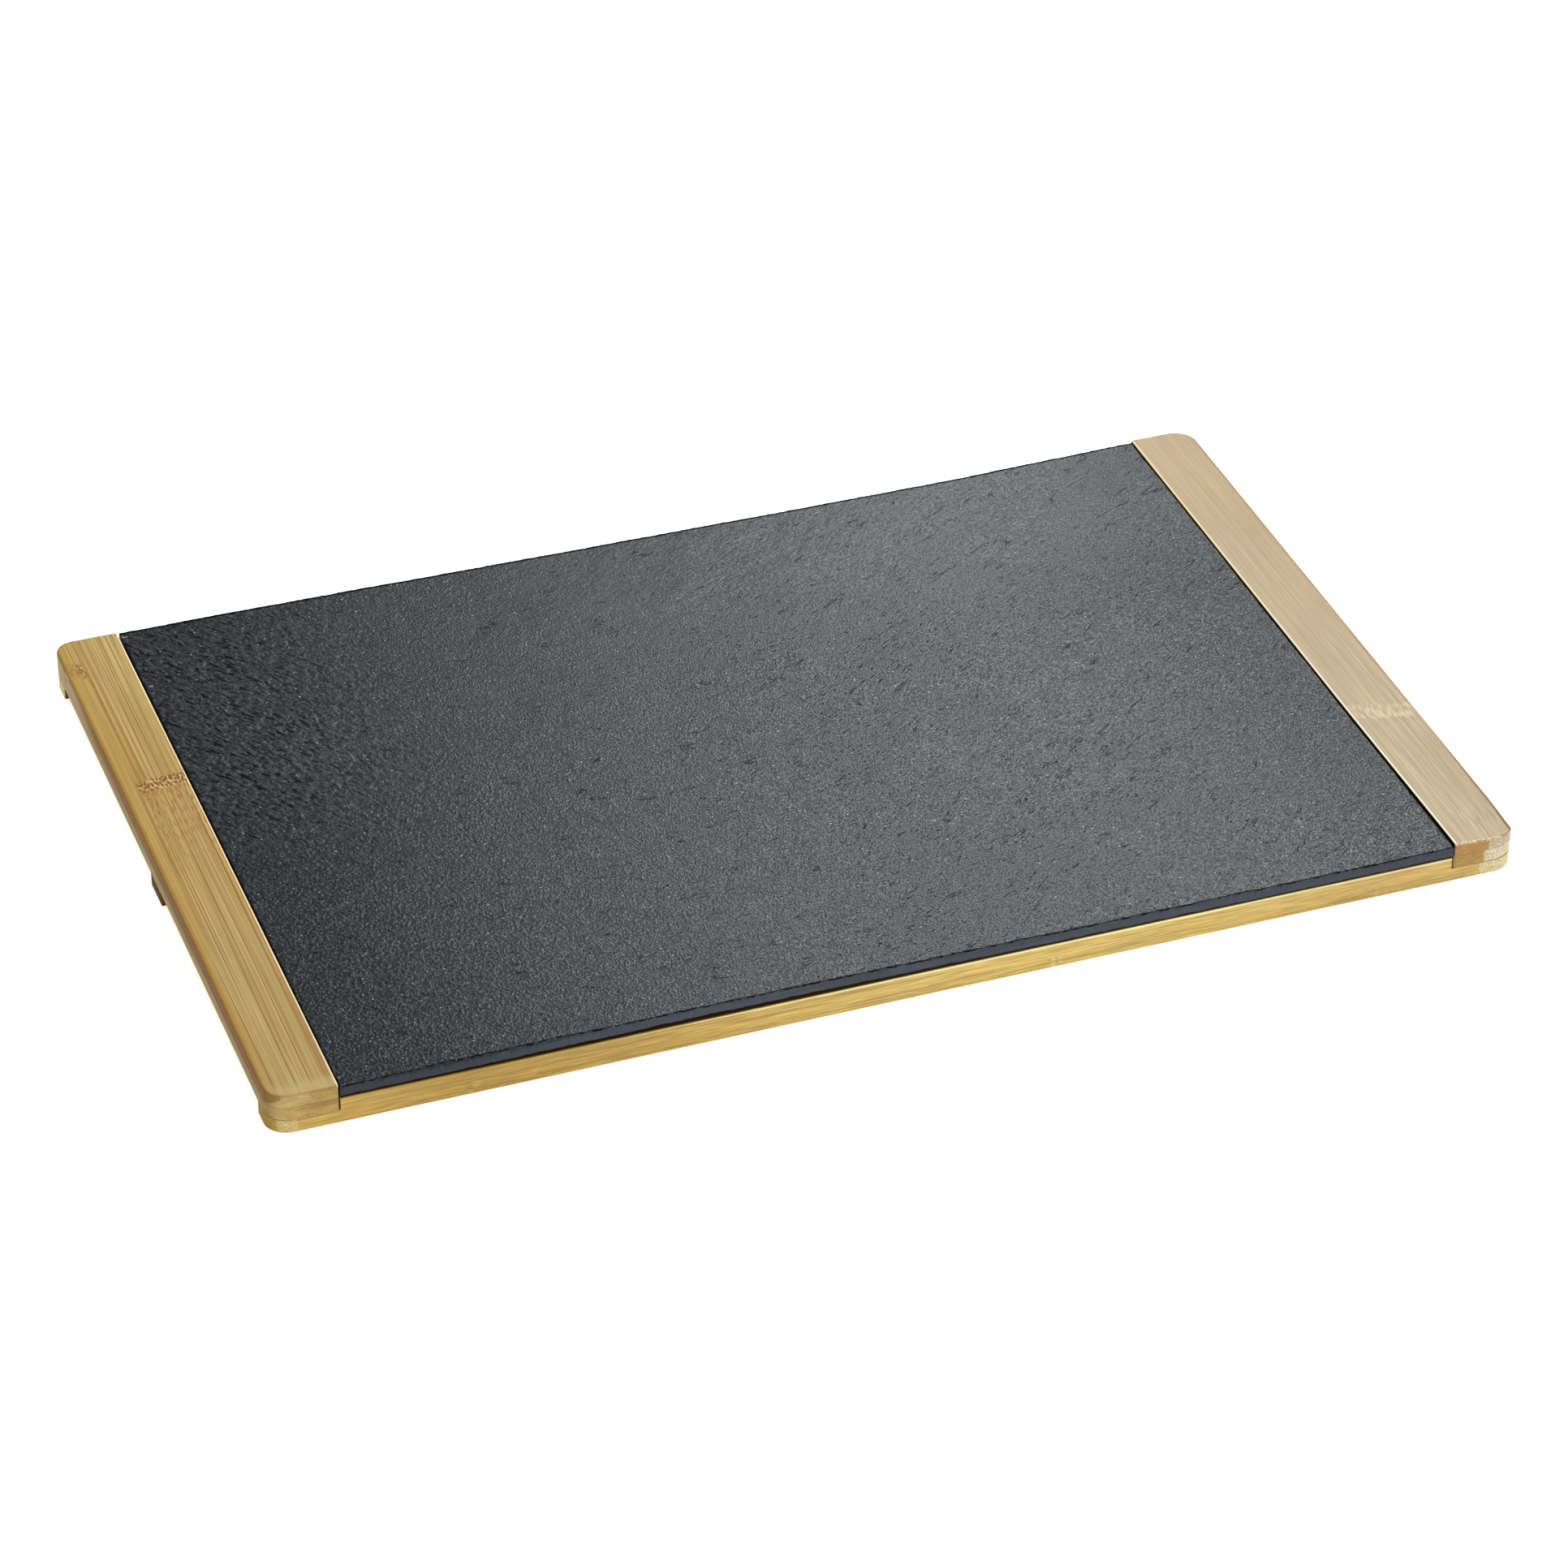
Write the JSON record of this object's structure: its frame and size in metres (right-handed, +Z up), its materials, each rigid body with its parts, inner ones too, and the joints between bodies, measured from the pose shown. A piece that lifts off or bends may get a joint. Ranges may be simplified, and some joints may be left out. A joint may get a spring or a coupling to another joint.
{
  "type": "buffet platter",
  "caption": "Flat rectangular serving platter: a loose slate plate lying on long bamboo battens between laminated bamboo end rails with finger gaps underneath.",
  "frame": {"origin": "centre of the footprint, on the surface that the platter stands on", "axes": "+X along the length towards the right end rail, +Y towards the back, +Z up"},
  "size_m": [0.47, 0.3, 0.016],
  "materials": {
    "bamboo_upper_ply": "satin oiled bamboo",
    "bamboo_lower_ply": "satin oiled bamboo",
    "bamboo_batten": "satin oiled bamboo",
    "slate": "matt riven slate with sawn edges",
    "silicone": "matt translucent silicone",
    "screw_steel": "zinc plated"
  },
  "bodies": {
    "frame": {"left_rail_upper_ply": "bamboo_upper_ply", "left_rail_lower_ply": "bamboo_lower_ply", "right_rail_upper_ply": "bamboo_upper_ply", "right_rail_lower_ply": "bamboo_lower_ply", "front_batten": "bamboo_batten", "centre_batten": "bamboo_batten", "rear_batten": "bamboo_batten", "screw_left_front": "screw_steel", "screw_left_centre": "screw_steel", "screw_left_rear": "screw_steel", "screw_right_front": "screw_steel", "screw_right_centre": "screw_steel", "screw_right_rear": "screw_steel"},
    "slate": {"slate_plate": "slate", "slate_pad_left_front": "silicone", "slate_pad_left_centre": "silicone", "slate_pad_left_rear": "silicone", "slate_pad_right_front": "silicone", "slate_pad_right_centre": "silicone", "slate_pad_right_rear": "silicone"}
  },
  "joints": [
    {"name": "slate_lift", "type": "slide", "parent": "frame", "child": "slate", "axis": [0, 0, 1], "range_m": [0, 0.08]}
  ]
}
